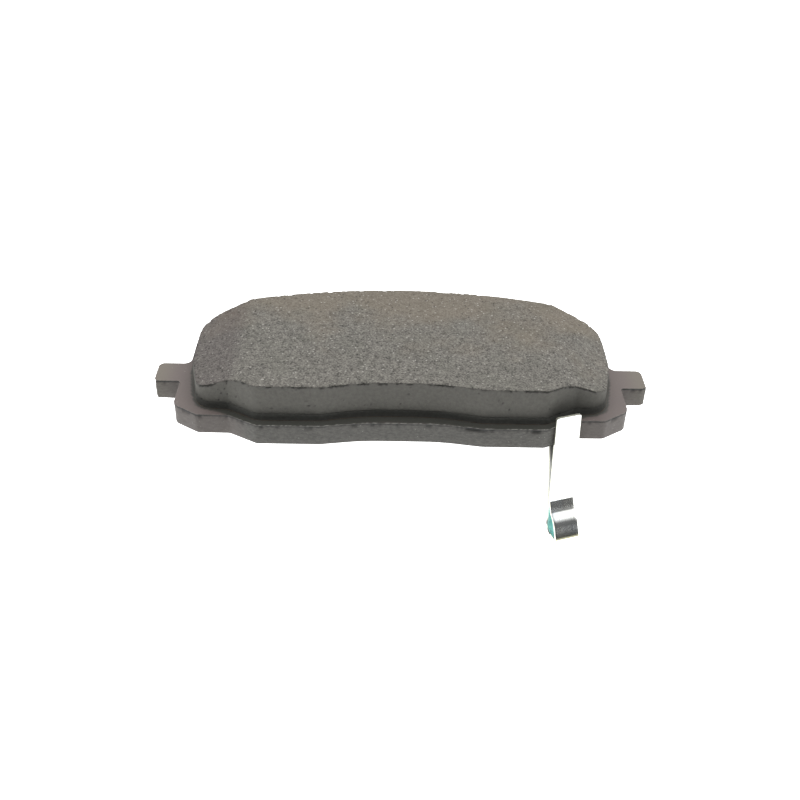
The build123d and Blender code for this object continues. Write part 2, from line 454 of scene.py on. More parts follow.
# Colours of the friction compound and its underlayer, and of the painted shade on them
RESIN = (0.036, 0.034, 0.030)
GRIT = (0.236, 0.224, 0.198)
GREEN_TINGE = (0.124, 0.126, 0.102)
AGED_BROWN = (0.184, 0.150, 0.108)
PALE_SPECK = (0.42, 0.405, 0.37)
DARK_SPECK = (0.030, 0.029, 0.027)
# painted shade on the left chamfer
LEFT_SHADE_VIOLET = (0.058, 0.040, 0.046)
WALL_DARK = (0.084, 0.083, 0.074)
WALL_PALE = (0.186, 0.181, 0.163)
UNDER_DARK = (0.036, 0.037, 0.032)
UNDER_PALE = (0.070, 0.072, 0.064)
# painted shade at the foot of the block's wall
FOOT_SHADE = (0.024, 0.025, 0.021)
# painted shade in the block's chips, pits and crumbs, and under its rim
HOLLOW_SHADE = (0.022, 0.021, 0.019)

# Colours of the plate
PAINT_DARK = (0.128, 0.105, 0.099)
PAINT_PALE = (0.160, 0.134, 0.123)
EAR_TIP = (0.172, 0.160, 0.122)
SHEARED_DARK = (0.066, 0.065, 0.059)
SHEARED_PALE = (0.130, 0.127, 0.115)
# painted shade on the ledge in front of the block
LEDGE_SHADE = (0.049, 0.052, 0.044)
# painted shade in the tears and the crack line of the plate's edge
TEAR_SHADE = (0.018, 0.018, 0.017)
DUST = (0.36, 0.35, 0.33)
# painted highlight on the burr's crest
BURR_GLINT = (0.44, 0.43, 0.40)

# Colours of the zinc
ZINC_WARM = (0.88, 0.89, 0.85)
ZINC_COOL = (0.82, 0.86, 0.88)
STRAW = (0.86, 0.85, 0.62)
TEAL = (0.55, 0.83, 0.80)
CUT_EDGE = (0.80, 0.80, 0.70)
# painted shade and dark reflections on the zinc, and the grey of its sheared tip
SHADE_AND_CUT_GREY = (0.050, 0.050, 0.036)


def friction_material():
    """Resin-bonded compound: granular where it is ground, closed and smoother on its moulded walls."""
    material, tree, shader = new_material("friction_compound")
    spot = place(tree)
    ground = painted(tree, "ground")
    fine = cloud(tree, spot, 0.55, 3.0, 0.75)
    medium = cloud(tree, spot, 1.7, 3.0, 0.6)
    mixed = combine(tree, "ADD", scaled(tree, fine, 0.72), scaled(tree, medium, 0.28))
    face = blend_colour(tree, rise(tree, mixed, 0.3, 0.7), RESIN, GRIT)
    green = rise(tree, cloud(tree, spot, 8.0, 2.0), 0.45, 0.7)
    face = blend_colour(tree, scaled(tree, green, 0.2), face, GREEN_TINGE)
    face = blend_colour(tree, scaled(tree, painted(tree, "aged"), 0.45), face, AGED_BROWN)
    light = specks(tree, spot, 1.2, 0.10, 0.30)
    dark = specks(tree, place(tree, (1.1, 0.9, 1.0)), 1.4, 0.10, 0.30)
    face = blend_colour(tree, scaled(tree, light, 0.7), face, PALE_SPECK)
    face = blend_colour(tree, scaled(tree, dark, 0.7), face, DARK_SPECK)
    # painted shade on the left chamfer, which the light reaches less
    face = blend_colour(tree, scaled(tree, painted(tree, "left_shade"), 0.34), face, LEFT_SHADE_VIOLET)
    wall = blend_colour(tree, cloud(tree, spot, 0.9, 5.0, 0.72), WALL_DARK, WALL_PALE)
    # painted shade at the wall's foot, where the dark ledge and the strip keep the light off
    wall = blend_colour(tree, scaled(tree, painted(tree, "foot"), 0.8), wall, FOOT_SHADE)
    colour = blend_colour(tree, ground, wall, face)
    # painted shade in the chips, pits and crumbs, and in a broken line under the rim
    colour = blend_colour(tree, painted(tree, "hollow_shade"), colour, HOLLOW_SHADE)
    tree.links.new(colour, shader.inputs["Base Color"])
    shader.inputs["Roughness"].default_value = 0.82
    shader.inputs["Specular IOR Level"].default_value = 0.3
    depth = combine(tree, "ADD", scaled(tree, ground, 0.8), 0.2)
    height = scaled(tree, combine(tree, "SUBTRACT", fine, dark), depth)
    tree.links.new(bump(tree, height, 0.14), shader.inputs["Normal"])
    return material


def underlayer_material():
    """Darker, denser compound under the block."""
    material, tree, shader = new_material("underlayer_compound")
    spot = place(tree)
    colour = blend_colour(tree, cloud(tree, spot, 1.0), UNDER_DARK, UNDER_PALE)
    tree.links.new(colour, shader.inputs["Base Color"])
    shader.inputs["Roughness"].default_value = 0.85
    tree.links.new(bump(tree, cloud(tree, spot, 0.5, 4.0, 0.7), 0.08), shader.inputs["Normal"])
    return material


def plate_material():
    """Satin taupe-grey paint on stamped steel, with painted shade in the tears of its edge and on the ledge
    in front of the block, and a painted glint on the burr.
    """
    material, tree, shader = new_material("plate_paint")
    spot = place(tree)
    side = painted(tree, "side")
    streak = cloud(tree, place(tree, (0.7, 0.7, 1.4)), 0.8, 5.0, 0.72)
    mottle = cloud(tree, spot, 6.0, 3.0)
    flat = blend_colour(tree, mottle, PAINT_DARK, PAINT_PALE)
    flat = blend_colour(tree, scaled(tree, painted(tree, "tip"), 0.5), flat, EAR_TIP)
    sheared = blend_colour(tree, rise(tree, streak, 0.25, 0.75), SHEARED_DARK, SHEARED_PALE)
    colour = blend_colour(tree, side, flat, sheared)
    # painted shade on the ledge in front of the block
    colour = blend_colour(tree, scaled(tree, painted(tree, "ledge_shade"), 0.92), colour, LEDGE_SHADE)
    # painted shade in the tears and the crack line of the plate's edge
    colour = blend_colour(tree, painted(tree, "tear_shade"), colour, TEAR_SHADE)
    dust = specks(tree, spot, 1.7, 0.03, 0.12)
    colour = blend_colour(tree, scaled(tree, dust, 0.6), colour, DUST)
    # painted highlight on the burr's crest
    colour = blend_colour(tree, painted(tree, "glint"), colour, BURR_GLINT)
    tree.links.new(colour, shader.inputs["Base Color"])
    tree.links.new(between(tree, mottle, 0.5, 0.66), shader.inputs["Roughness"])
    shader.inputs["Specular IOR Level"].default_value = 0.3
    relief = bump(tree, cloud(tree, spot, 0.7, 2.0), 0.03)
    relief = bump(tree, scaled(tree, streak, side), 0.09, under=relief)
    tree.links.new(relief, shader.inputs["Normal"])
    return material


def zinc_material():
    """Bright zinc with a blue-passivated film that drifts to teal and straw, drawn into fine grooves."""
    material, tree, shader = new_material("blue_zinc")
    spot = place(tree)
    drift = cloud(tree, spot, 7.0, 2.0)
    film = blend_colour(tree, rise(tree, drift, 0.35, 0.65), ZINC_WARM, ZINC_COOL)
    film = blend_colour(tree, painted(tree, "straw"), film, STRAW)
    film = blend_colour(tree, painted(tree, "teal"), film, TEAL)
    film = blend_colour(tree, painted(tree, "cut"), film, CUT_EDGE)
    # painted shade and dark reflections on the zinc, and the grey of its sheared tip
    film = blend_colour(tree, painted(tree, "shade_and_cut_grey"), film, SHADE_AND_CUT_GREY)
    tree.links.new(film, shader.inputs["Base Color"])
    shader.inputs["Metallic"].default_value = 1.0
    bright = between(tree, cloud(tree, spot, 1.6, 3.0), 0.14, 0.24)
    tree.links.new(combine(tree, "ADD", bright, painted(tree, "satin")), shader.inputs["Roughness"])
    settings = {"W": painted(tree, "across"), "Scale": 2.2, "Detail": 3.0}
    groove = add_node(tree, "ShaderNodeTexNoise", settings, noise_dimensions="1D").outputs["Fac"]
    relief = bump(tree, groove, 0.02)
    tree.links.new(bump(tree, cloud(tree, spot, 0.9, 3.0), 0.004, under=relief), shader.inputs["Normal"])
    return material


def plain_material(name, dark, light, lump, roughness, metallic=0.0):
    """A surface with a fine grain between two colours, in lumps of so many millimetres."""
    material, tree, shader = new_material(name)
    spot = place(tree)
    mix = cloud(tree, spot, lump, 4.0)
    tree.links.new(blend_colour(tree, mix, dark, light), shader.inputs["Base Color"])
    tree.links.new(between(tree, mix, *roughness), shader.inputs["Roughness"])
    shader.inputs["Metallic"].default_value = metallic
    tree.links.new(bump(tree, cloud(tree, spot, lump / 3), 0.02), shader.inputs["Normal"])
    return material


# ---------------------------------------------------------------- pieces

FROM_ABOVE = (1, 1, 0)                  # takes the height out of a point, so a pattern runs down a wall


def top_height(points):
    """Height of the rubbing face and its end chamfers at (x, y)."""
    out, far = np.abs(points[:, 0]) - CHAMFER_START, points[:, 1]
    beyond = out * math.cos(CHAMFER_SPLAY) - far * math.sin(CHAMFER_SPLAY)
    return RUB_FACE_Z - np.clip(beyond, 0, None) * CHAMFER_SLOPE


def hex_grid(low, high, step):
    """Points of a triangular grid over a rectangle, nudged so that no rows show."""
    rows = np.arange(low.y, high.y, step * math.sqrt(3) / 2)
    columns = np.arange(low.x, high.x, step)
    points = np.array([(x + (i % 2) * step / 2, y) for i, y in enumerate(rows) for x in columns])
    random = np.random.default_rng(7)
    return points + random.uniform(-0.16, 0.16, points.shape) * step


def nearest_distance(points, loop):
    """Distance from each (x, y) point to the nearest point of a loop."""
    tree = kdtree.KDTree(len(loop))
    for i, (x, y) in enumerate(loop):
        tree.insert((x, y, 0), i)
    tree.balance()
    return np.array([tree.find((x, y, 0))[2] for x, y in points])


def grid_inside(low, high, step, rim):
    """Grid points inside a rim, none of them so near it that they make slivers."""
    grid = hex_grid(low, high, step)
    grid = grid[inside(grid, rim)]
    return grid[nearest_distance(grid, rim) > step * 0.45]


def block_wear(points, on_top, below_rim, edge_distance):
    """Each kind of wear on the block, as 0 to 1 at every point."""
    near_rim = 1 - smooth_step(0, CHIP_WIDTH, edge_distance)
    chips = smooth_step(0.05, 0.5, grain(points * FROM_ABOVE, 1.9 * MM, 1)) * near_rim
    crumbs = (0.5 + 0.5 * grain(points, 0.5 * MM, 2)) * near_rim
    pits = 1 - smooth_step(0.08, 0.22, cells(points, 1.7 * MM, 3))
    more_at_left = grain(points, 9 * MM, 4) - 5 * points[:, 0]
    pits *= smooth_step(-0.3, 0.2, more_at_left) * (below_rim < PIT_REACH)
    granular = np.where(on_top, 0.5 + 0.5 * grain(points, 0.6 * MM, 5, 4), 0.0)
    skin = np.where(on_top, 0.0, 0.5 + 0.5 * grain(points, 3.0 * MM, 6))
    return {"chips": chips, "crumbs": crumbs, "pits": pits, "granular": granular, "skin": skin}


def foot_shade_height(points):
    """How far the painted shade at the wall's foot climbs: highest behind the strip, lowest in the scallop.
    """
    x, y = points[:, 0], points[:, 1]
    from_middle = smooth_step(8 * MM, 32 * MM, np.abs(x))
    by_strip = np.exp(-((x - 44.5 * MM) / (5 * MM)) ** 2) * (y < 0)
    on_lobe = smooth_step(44 * MM, 50 * MM, x) * (y < -10 * MM)
    ripple = grain(points * FROM_ABOVE, 6 * MM, 17)
    return (0.36 + 0.84 * from_middle + 3.4 * by_strip + 0.8 * on_lobe + 0.2 * ripple) * MM


def wear_block(mesh, rim):
    """Chips, crumbles and pits the block's mesh, and paints on it where it is worn or aged, and painted shade
    in its hollows, at its wall's foot and on its left chamfer.
    """
    points, outward = coordinates(mesh), normals(mesh)
    x, y = points[:, 0], points[:, 1]
    above_foot = points[:, 2] - BLOCK_LOW.z
    below_rim = top_height(points[:, :2]) - points[:, 2]
    on_top = below_rim < TOP_DEPTH
    edge_distance = np.where(on_top, nearest_distance(points[:, :2], rim), below_rim)
    wear = block_wear(points, on_top, below_rim, edge_distance)
    depth_mm = sum(RELIEF_MM[kind] * where for kind, where in wear.items())
    depth_mm = np.where(above_foot < GLUED_HEIGHT, 0, depth_mm)
    set_coordinates(mesh, points - outward * depth_mm[:, None] * MM)

    # a broken line of painted shade just under the rubbing face's edge
    ragged = below_rim + 0.3 * MM * grain(points, 0.7 * MM, 10)
    edge_line = (1 - smooth_step(0.45 * MM, 0.75 * MM, ragged)) * (below_rim > TOP_DEPTH)
    edge_line *= smooth_step(-0.12, 0.12, grain(points * FROM_ABOVE, 2.2 * MM, 9))
    # painted shade in the hollows: chips, pits, crumbs and the line under the rim
    hollow_shade = 0.85 * wear["chips"] + 0.75 * wear["pits"] + 0.2 * wear["crumbs"] + 0.75 * edge_line
    towards_rim = y + 0.12 * x
    aged = smooth_step(-8 * MM, 26 * MM, towards_rim + 20 * MM * grain(points, 13 * MM, 18))
    paint(mesh, "ground", on_top)
    paint(mesh, "hollow_shade", np.clip(hollow_shade, 0, 1))
    # painted shade at the wall's foot, fading upwards
    paint(mesh, "foot", np.exp(-above_foot / foot_shade_height(points)))
    paint(mesh, "aged", aged)
    # painted shade on the left chamfer
    paint(mesh, "left_shade", smooth_step(CHAMFER_START - 1 * MM, CHAMFER_START + 5 * MM, -x))


def make_friction_block(material):
    """The rubbing block, with crumbled edges, pits and a ground, granular face."""
    foot = counter_clockwise(face_loops("friction_block", BLOCK_LOW.z, -1)[0])
    foot = divided(foot, FINE_STEP)
    rim_z = top_height(ring(foot, DRAFT, 0.0)[:, :2])
    rings = [ring(foot, DRAFT * t, BLOCK_LOW.z + (rim_z - BLOCK_LOW.z) * t) for t in WALL_SHARES]
    rim = rings[-1][:, :2]
    shell = Shell()
    bottom, top = shell.walls(rings)
    shell.cap(bottom, [], up=False)
    grid = grid_inside(BLOCK_LOW, BLOCK_HIGH, FINE_STEP, rim)
    shell.cap(top, [], up=True, inner=grid, height=top_height)
    piece = shell.piece("friction_block_visual", 180.0)
    wear_block(piece.data, rim)
    piece.data.materials.append(material)
    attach(piece, "root")
    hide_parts("friction_block")


def make_underlayer(material):
    """The underlayer: a slightly spread, uneven foot under the block, and the two moulding plugs."""
    outer, *holes = face_loops("bonding_adhesive", FILM_HIGH.z, 1)
    outer = divided(counter_clockwise(outer), FINE_STEP)
    lower_z, upper_z, plug_z = FILM_HIGH.z, UNDER_HIGH.z, UNDER_LOW.z
    uneven = FLASH_UNEVENNESS * (0.5 + 0.5 * grain(on_ground(outer), 2.5 * MM, 8))
    rings = []
    for t in np.linspace(0, 1, 9):
        inset = FLASH * t ** 0.6 + uneven * (1 - t)
        rings.append(ring(outer, inset, lower_z + (upper_z - lower_z) * t))
    shell = Shell()
    bottom, top = shell.walls(rings)
    shell.cap(top, [], up=True)
    mouths = []
    for hole in holes:
        centre = hole.mean(0)
        radius = mean_radius(hole, centre)
        sizes = [(radius, lower_z), (radius, plug_z + PLUG_ROUNDING), (radius * 0.96, plug_z)]
        mouth, end = shell.walls([circle(centre, r, z)[::-1] for r, z in sizes])
        shell.cap(end, [], up=False, inner=[centre], height=level_at(plug_z))
        mouths.append(mouth)
    shell.cap(bottom, mouths, up=False)
    piece = shell.piece("underlayer_visual", 50.0)
    piece.data.materials.append(material)
    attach(piece, "root")
    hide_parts("underlayer")


def edge_wear_and_glint(outer):
    """How much the plate's edge tore, cracked and burred at each point of its outline, and how bright the
    painted glint on its burr is.
    """
    flat = on_ground(outer)
    on_ends = smooth_step(*LOBE_TURN, np.abs(outer[:, 0]))
    tear = 0.6 * smooth_step(0.28, 0.42, grain(flat, 2.6 * MM, 11))
    for x in TORN_SPOTS:
        patch = np.exp(-((outer[:, 0] - x) / TORN_LENGTH) ** 2) * (outer[:, 1] < NEAR_EDGE_Y)
        tear = np.maximum(tear, smooth_step(0.3, 0.6, patch + 0.55 * grain(flat, 1.1 * MM, 12)))
    # the crack line under the burr: a slight inset and painted shade, strongest on the lobes
    crack = 0.75 + 0.35 * grain(flat, 1.3 * MM, 15) + 0.45 * on_ends
    burr = 0.5 + 0.5 * grain(flat, 0.8 * MM, 13)
    # painted highlight on the burr's crest, broken into specks, faint on the lobes
    glint = 0.9 * smooth_step(-0.1, 0.3, grain(flat, 0.8 * MM, 16))
    glint *= 1 - 0.85 * on_ends
    return tear, crack, burr, glint


def plate_edge(outer, tear, crack, burr):
    """Rings of the plate's edge from its back to its front, and the painted shade of its tears and crack line
    on each.
    """
    smooth = np.zeros(len(outer))
    roll = DIE_ROLL * (0.8 + 1.6 * smooth_step(*EAR_REACH, np.abs(outer[:, 0])))
    rings = []
    tear_shade = []
    for turn in np.linspace(math.pi / 2, 0, 7):
        rings.append(ring(outer, roll * (1 - math.cos(turn)), PLATE_BACK_Z + roll * (1 - math.sin(turn))))
        tear_shade.append(smooth)
    for below_mm, torn_share, crack_share in SHEAR_ROWS:
        height = PLATE_FRONT_Z - below_mm * MM
        wander = 0.035 * grain(np.column_stack([outer, np.full(len(outer), height)]), 1.4 * MM, 14)
        inset = (0.04 + wander + 0.3 * torn_share * tear + 0.05 * crack_share) * MM
        rings.append(ring(outer, inset, height))
        # painted shade in the tears and along the crack line
        tear_shade.append(np.clip(torn_share * tear + crack_share * crack, 0, 1))
    rings.append(ring(outer, 0.12 * MM, PLATE_FRONT_Z + BURR_HEIGHT * burr))
    rings.append(ring(outer, 0.32 * MM, PLATE_FRONT_Z))
    tear_shade += [smooth, smooth]
    return rings, tear_shade


def plate_holes(shell, front_holes, back_holes):
    """Adds the walls of the through holes and the studs. Returns their mouths in the back and the front."""
    back_mouths = []
    front_mouths = []
    for hole in back_holes:
        centre = hole.mean(0)
        radius = mean_radius(hole, centre)
        through = [h for h in front_holes if np.linalg.norm(h.mean(0) - centre) < SAME_PLACE]
        if through:
            front_radius = mean_radius(through[0], centre)
            levels = [
                (radius, PLATE_BACK_Z),
                (radius, PLATE_FRONT_Z - HEAD_DEPTH),
                (front_radius, PLATE_FRONT_Z),
            ]
        else:
            stud_z = PLATE_LOW.z
            levels = [
                (radius, PLATE_BACK_Z),
                (radius, stud_z + STUD_ROUNDING),
                (radius - STUD_ROUNDING, stud_z),
            ]
        low, high = shell.walls([circle(centre, r, z)[::-1] for r, z in levels])
        back_mouths.append(low)
        if through:
            front_mouths.append(high)
        else:
            shell.cap(high, [], up=False, inner=[centre], height=level_at(stud_z))
    return back_mouths, front_mouths


def paint_plate(mesh, tear_shade, glint, lining):
    """Paints where the plate is sheared or worn at its ear tips, painted shade in the tears of its edge and
    on the ledge beside the lining, and a painted glint on its burr.
    """
    points = coordinates(mesh)
    from_middle = np.abs(points[:, 0])
    per_ring = len(glint)
    edge_points = per_ring * len(tear_shade)
    burr_start = edge_points - 2 * per_ring         # the last two rings are the burr and the front's rim
    tear_shade_values = np.zeros(len(points))
    # painted shade in the tears and the crack line, ring by ring
    tear_shade_values[:edge_points] = np.concatenate(tear_shade)
    side = np.zeros(len(points))
    side[:burr_start] = 1.0
    side *= 1 - 0.45 * smooth_step(*LOBE_TURN, from_middle)
    bright = np.zeros(len(points))
    bright[burr_start:burr_start + per_ring] = glint
    # painted shade on the ledge in front of the block: it reaches furthest along the near edge and hardly
    # onto the lobes, where light gets in
    near_edge = smooth_step(12 * MM, 19 * MM, -points[:, 1])
    near_edge *= 1 - 0.88 * smooth_step(46 * MM, 54 * MM, from_middle)
    reach = (0.6 + 2.4 * near_edge + 0.3 * grain(points, 3 * MM, 19)) * MM
    ledge_shade = 1 - smooth_step(0.75, 1.25, nearest_distance(points[:, :2], lining) / reach)
    on_front = points[:, 2] > PLATE_FRONT_Z - 0.02 * MM
    paint(mesh, "tear_shade", tear_shade_values)
    paint(mesh, "side", side)
    paint(mesh, "glint", bright)
    paint(mesh, "tip", smooth_step(65 * MM, 71 * MM, from_middle))
    paint(mesh, "ledge_shade", ledge_shade * on_front)


def make_plate(material):
    """The stamped plate: die-rolled back edge, streaked shear face, torn and burred front edge."""
    front_outer, *front_holes = face_loops("backing_plate", PLATE_FRONT_Z, 1)
    _, *back_holes = face_loops("backing_plate", PLATE_BACK_Z, -1)
    outer = divided(counter_clockwise(front_outer), COARSE_STEP)
    tear, crack, burr, glint = edge_wear_and_glint(outer)
    rings, tear_shade = plate_edge(outer, tear, crack, burr)
    shell = Shell()
    bottom, top = shell.walls(rings)
    back_mouths, front_mouths = plate_holes(shell, front_holes, back_holes)
    shell.cap(bottom, back_mouths, up=False)

    lining = counter_clockwise(face_loops("bonding_adhesive", FILM_HIGH.z, 1)[0])
    lining = divided(lining, FINE_STEP)
    grid = grid_inside(PLATE_LOW, PLATE_HIGH, COARSE_STEP, rings[-1][:, :2])
    grid = grid[~inside(grid, lining)]
    shell.cap(top, front_mouths, up=True, inner=grid, height=level_at(PLATE_FRONT_Z))

    piece = shell.piece("backing_plate_visual", 35.0)
    paint_plate(piece.data, tear_shade, glint, lining)
    piece.data.materials.append(material)
    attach(piece, "root")
    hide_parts("backing_plate")


def rounded_route(corners, step):
    """Points along a path of (x, y, radius) corners, with each corner rounded."""
    spots = [Vector(c[:2]) * MM for c in corners]
    points = [spots[0]]
    for before, here, after, corner in zip(spots, spots[1:], spots[2:], corners[1:]):
        to_before = (before - here).normalized()
        to_after = (after - here).normalized()
        radius = corner[2] * MM
        half = to_before.angle(to_after) / 2
        middle = here + (to_before + to_after).normalized() * (radius / math.sin(half))
        start = here + to_before * (radius / math.tan(half)) - middle
        sweep = math.pi - 2 * half
        sign = 1 if to_before.cross(to_after) < 0 else -1
        count = max(3, round(sweep / math.radians(5)))
        for i in range(count + 1):
            turned = start.copy()
            turned.rotate(Matrix.Rotation(sign * sweep * i / count, 2))
            points.append(middle + turned)
    points.append(spots[-1])
    dense = [points[0]]
    for start, end in zip(points, points[1:]):
        pieces = max(1, round((end - start).length / step))
        dense += [start.lerp(end, i / pieces) for i in range(1, pieces + 1)]
    return dense


def open_ended(route, radius_at_start, radius_at_end):
    """The route with close points near both ends, where the strip's corners are rounded."""
    shares = (0.02, 0.06, 0.12, 0.2, 0.32, 0.5, 0.75, 1.0)
    first, last = route[0], route[-1]
    onwards = (route[1] - first).normalized()
    backwards = (route[-2] - last).normalized()
    start = [first + onwards * radius_at_start * share for share in shares]
    end = [last + backwards * radius_at_end * share for share in reversed(shares)]
    middle = [p for p in route if (p - first).length > radius_at_start and (p - last).length > radius_at_end]
    return [first, *start, *middle, *end, last]


def strip_section(half):
    """The strip's section as one closed loop of (across, through) points, counter-clockwise."""
    right = []
    for turn in np.linspace(0, math.pi / 2, 4):
        a = half - STRIP_EDGE_RADIUS * (1 - math.sin(turn))
        b = STRIP_HALF_THICK - STRIP_EDGE_RADIUS * (1 - math.cos(turn))
        right.append((a, b))
    span = np.linspace(1, -1, 11)[1:-1] * (half - STRIP_EDGE_RADIUS)
    loop = [(a, -b) for a, b in right]
    loop += [(a, b) for a, b in reversed(right)]
    loop += [(a, STRIP_HALF_THICK) for a in span]
    loop += [(-a, b) for a, b in right]
    loop += [(-a, -b) for a, b in reversed(right)]
    loop += [(-a, -STRIP_HALF_THICK) for a in span]
    return loop


def strip_half_width(from_foot, from_tip):
    """Half the strip's width at a distance from each end, less what the rounded corners take."""
    half = STRIP_HALF_WIDTH
    for radius, distance in ((FOOT_RADIUS, from_foot), (TIP_RADIUS, from_tip)):
        if distance < radius:
            half -= radius - math.sqrt(max(radius ** 2 - (radius - distance) ** 2, 0))
    return half


class StripShadeAndTint:
    """The painted shade and dark reflections, the grey of the sheared tip, the roughness and the tint of the
    strip at one place along it, on each side of it.

    A place's w, outwards, and its height are in mm and from STRIP_CENTRE, as in the route.
    """

    def __init__(self, spot, way_along, on_tip):
        w, height = spot / MM
        on_front_leg = way_along > FRONT_LEG_START
        on_rear_leg = 1 - float(smooth_step(*REAR_LEG_END, way_along))
        beside_plate = float(smooth_step(-9, -1, height)) * (w < 5)
        above_loop = float(smooth_step(-21, -19, height))
        heel_spot = math.exp(-((height + 27.6) / 0.5) ** 2)
        in_heel = float(smooth_step(24, 26, -height)) * (w < 6) * (1 - heel_spot)
        on_nose = float(smooth_step(25.0, 27.8, -height)) * (w > 8) * (height > -28.0)
        at_bend = float(smooth_step(19.9, 21.4, -height)) * (height > -22.5) * on_front_leg
        # painted shade and dark reflections on the cut edges: beside the plate, above the loop and round the
        # heel; the sheared tip is painted greyer
        edge_shade_and_cut_grey = max(0.85 * beside_plate, 0.35 * above_loop)
        if on_front_leg:
            edge_shade_and_cut_grey *= 0.25
        self.on_tip = on_tip
        self.edge_shade_and_cut_grey = max(edge_shade_and_cut_grey, in_heel, 0.45 * on_tip)
        # painted shade on the loop-facing face beside the plate, and painted dark reflections on the nose and
        # the rear leg's outer face
        self.inner_shade = 0.7 * beside_plate
        self.outer_shade = 0.8 * on_nose + 0.75 * on_rear_leg
        self.outer_satin = 0.11 * at_bend + 0.25 * on_rear_leg
        self.in_loop = height < -20.5
        self.under_nose = w > 8 and height < -27.5

    def shades(self, across, through, half):
        """The painted numbers of one point of the strip's section here."""
        inner = through > 0
        cut = self.on_tip or abs(across) > half - 0.9 * STRIP_EDGE_RADIUS
        right_flank = across > half - 0.05 * STRIP_EDGE_RADIUS
        face_shade = self.inner_shade if inner else self.outer_shade
        face_satin = 0.3 if inner else self.outer_satin
        return {
            "cut": cut,
            # painted shade and dark reflections, the grey of the sheared tip, and painted shade along the
            # right edge
            "shade_and_cut_grey": max(self.edge_shade_and_cut_grey if cut else face_shade, 0.72 * right_flank),
            "teal": inner and self.in_loop,
            "satin": 0.6 if self.on_tip else face_satin,
            "straw": not inner and self.under_nose,
            "across": across / MM,
        }


def make_strip(material):
    """The wear indicator: one strip with rounded edges, swept along its route, with two holes in its foot."""
    outward = Vector((math.sin(STRIP_TURN), -math.cos(STRIP_TURN), 0))
    across = Vector((math.cos(STRIP_TURN), math.sin(STRIP_TURN), 0))
    route = open_ended(rounded_route(STRIP_ROUTE, ROUTE_STEP), FOOT_RADIUS, TIP_RADIUS)
    travelled = [0.0]
    for start, end in zip(route, route[1:]):
        travelled.append(travelled[-1] + (end - start).length)
    total = travelled[-1]
    rings = []
    shades = []
    for i, spot in enumerate(route):
        on_tip = i == len(route) - 1
        wear = StripShadeAndTint(spot, travelled[i] / total, on_tip)
        along = (route[min(i + 1, len(route) - 1)] - route[max(i - 1, 0)]).normalized()
        half = strip_half_width(travelled[i], total - travelled[i])
        points = []
        for a, b in strip_section(half):
            w_offset, up_offset = -along.y * b, along.x * b
            level = Vector((0, 0, spot.y + up_offset))
            points.append(STRIP_CENTRE + outward * (spot.x + w_offset) + across * a + level)
            shades.append(wear.shades(a, b, half))
        rings.append(points)
    shell = Shell()
    first, last = shell.walls(rings)
    shell.faces.append(tuple(reversed(first)))
    shell.faces.append(tuple(last))
    piece = shell.piece("wear_indicator_visual", 35.0)
    for name in shades[0]:
        paint(piece.data, name, [shade[name] for shade in shades])
    for w, radius in ((RIVET_W, RIVET_HOLE_RADIUS), (FOOT_PIP_W, FOOT_PIP_HOLE_RADIUS)):
        drill(piece, STRIP_CENTRE + outward * w, radius)
    piece.data.materials.append(material)
    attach(piece, "root")
    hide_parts("wear_indicator")


def drill(piece, centre, radius):
    """Cuts an upright hole through a piece that lies on the plate's back."""
    shell = Shell()
    low, high = shell.walls([circle(centre, radius, PLATE_BACK_Z + z * MM, 40) for z in (-3.0, 3.0)])
    shell.faces.append(tuple(reversed(low)))
    shell.faces.append(tuple(high))
    tool = shell.piece("drill")
    cutter = piece.modifiers.new("hole", "BOOLEAN")
    cutter.operation = "DIFFERENCE"
    cutter.solver = "EXACT"
    cutter.object = tool
    bpy.context.view_layer.update()
    evaluated = piece.evaluated_get(bpy.context.evaluated_depsgraph_get())
    cut_mesh = bpy.data.meshes.new_from_object(evaluated)
    piece.modifiers.clear()
    piece.data = cut_mesh
    bpy.data.objects.remove(tool)


def make_rivet(material):
    """The rivet, turned from its profile: coned head, shank and a formed tail with a dimple."""
    centre = (RIVET_LOW + RIVET_HIGH) / 2
    foot_z = PLATE_BACK_Z - 2 * STRIP_HALF_THICK
    low = RIVET_LOW.z
    profile = [                         # (radius, height)
        (0.9 * MM, low + 0.28 * MM),    # rim of the dimple
        (1.25 * MM, low + 0.06 * MM),
        (1.6 * MM, low),
        (2.1 * MM, low + 0.05 * MM),
        (2.6 * MM, low + 0.25 * MM),
        (2.95 * MM, low + 0.6 * MM),
        (3.1 * MM, low + 1.0 * MM),
        (3.1 * MM, foot_z),             # tail, closed over the strip's foot
        (2.0 * MM, foot_z),
        (2.0 * MM, PLATE_FRONT_Z - HEAD_DEPTH),
        (3.4 * MM, PLATE_FRONT_Z),      # head, sunk in the plate's front
    ]
    shell = Shell()
    first, last = shell.walls([circle(centre, r, z, 56) for r, z in profile])
    shell.cap(first, [], up=False, inner=[centre[:2]], height=level_at(low + 0.4 * MM))
    shell.faces.append(tuple(last))
    piece = shell.piece("wear_indicator_rivet_visual", 35.0)
    piece.data.materials.append(material)
    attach(piece, "root")
    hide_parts("wear_indicator_rivet")


def repaint(node, material):
    """Gives a CAD node's mesh a new material."""
    node_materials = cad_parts[node].data.materials
    node_materials.clear()
    node_materials.append(material)


# ---------------------------------------------------------------- stage, light and camera

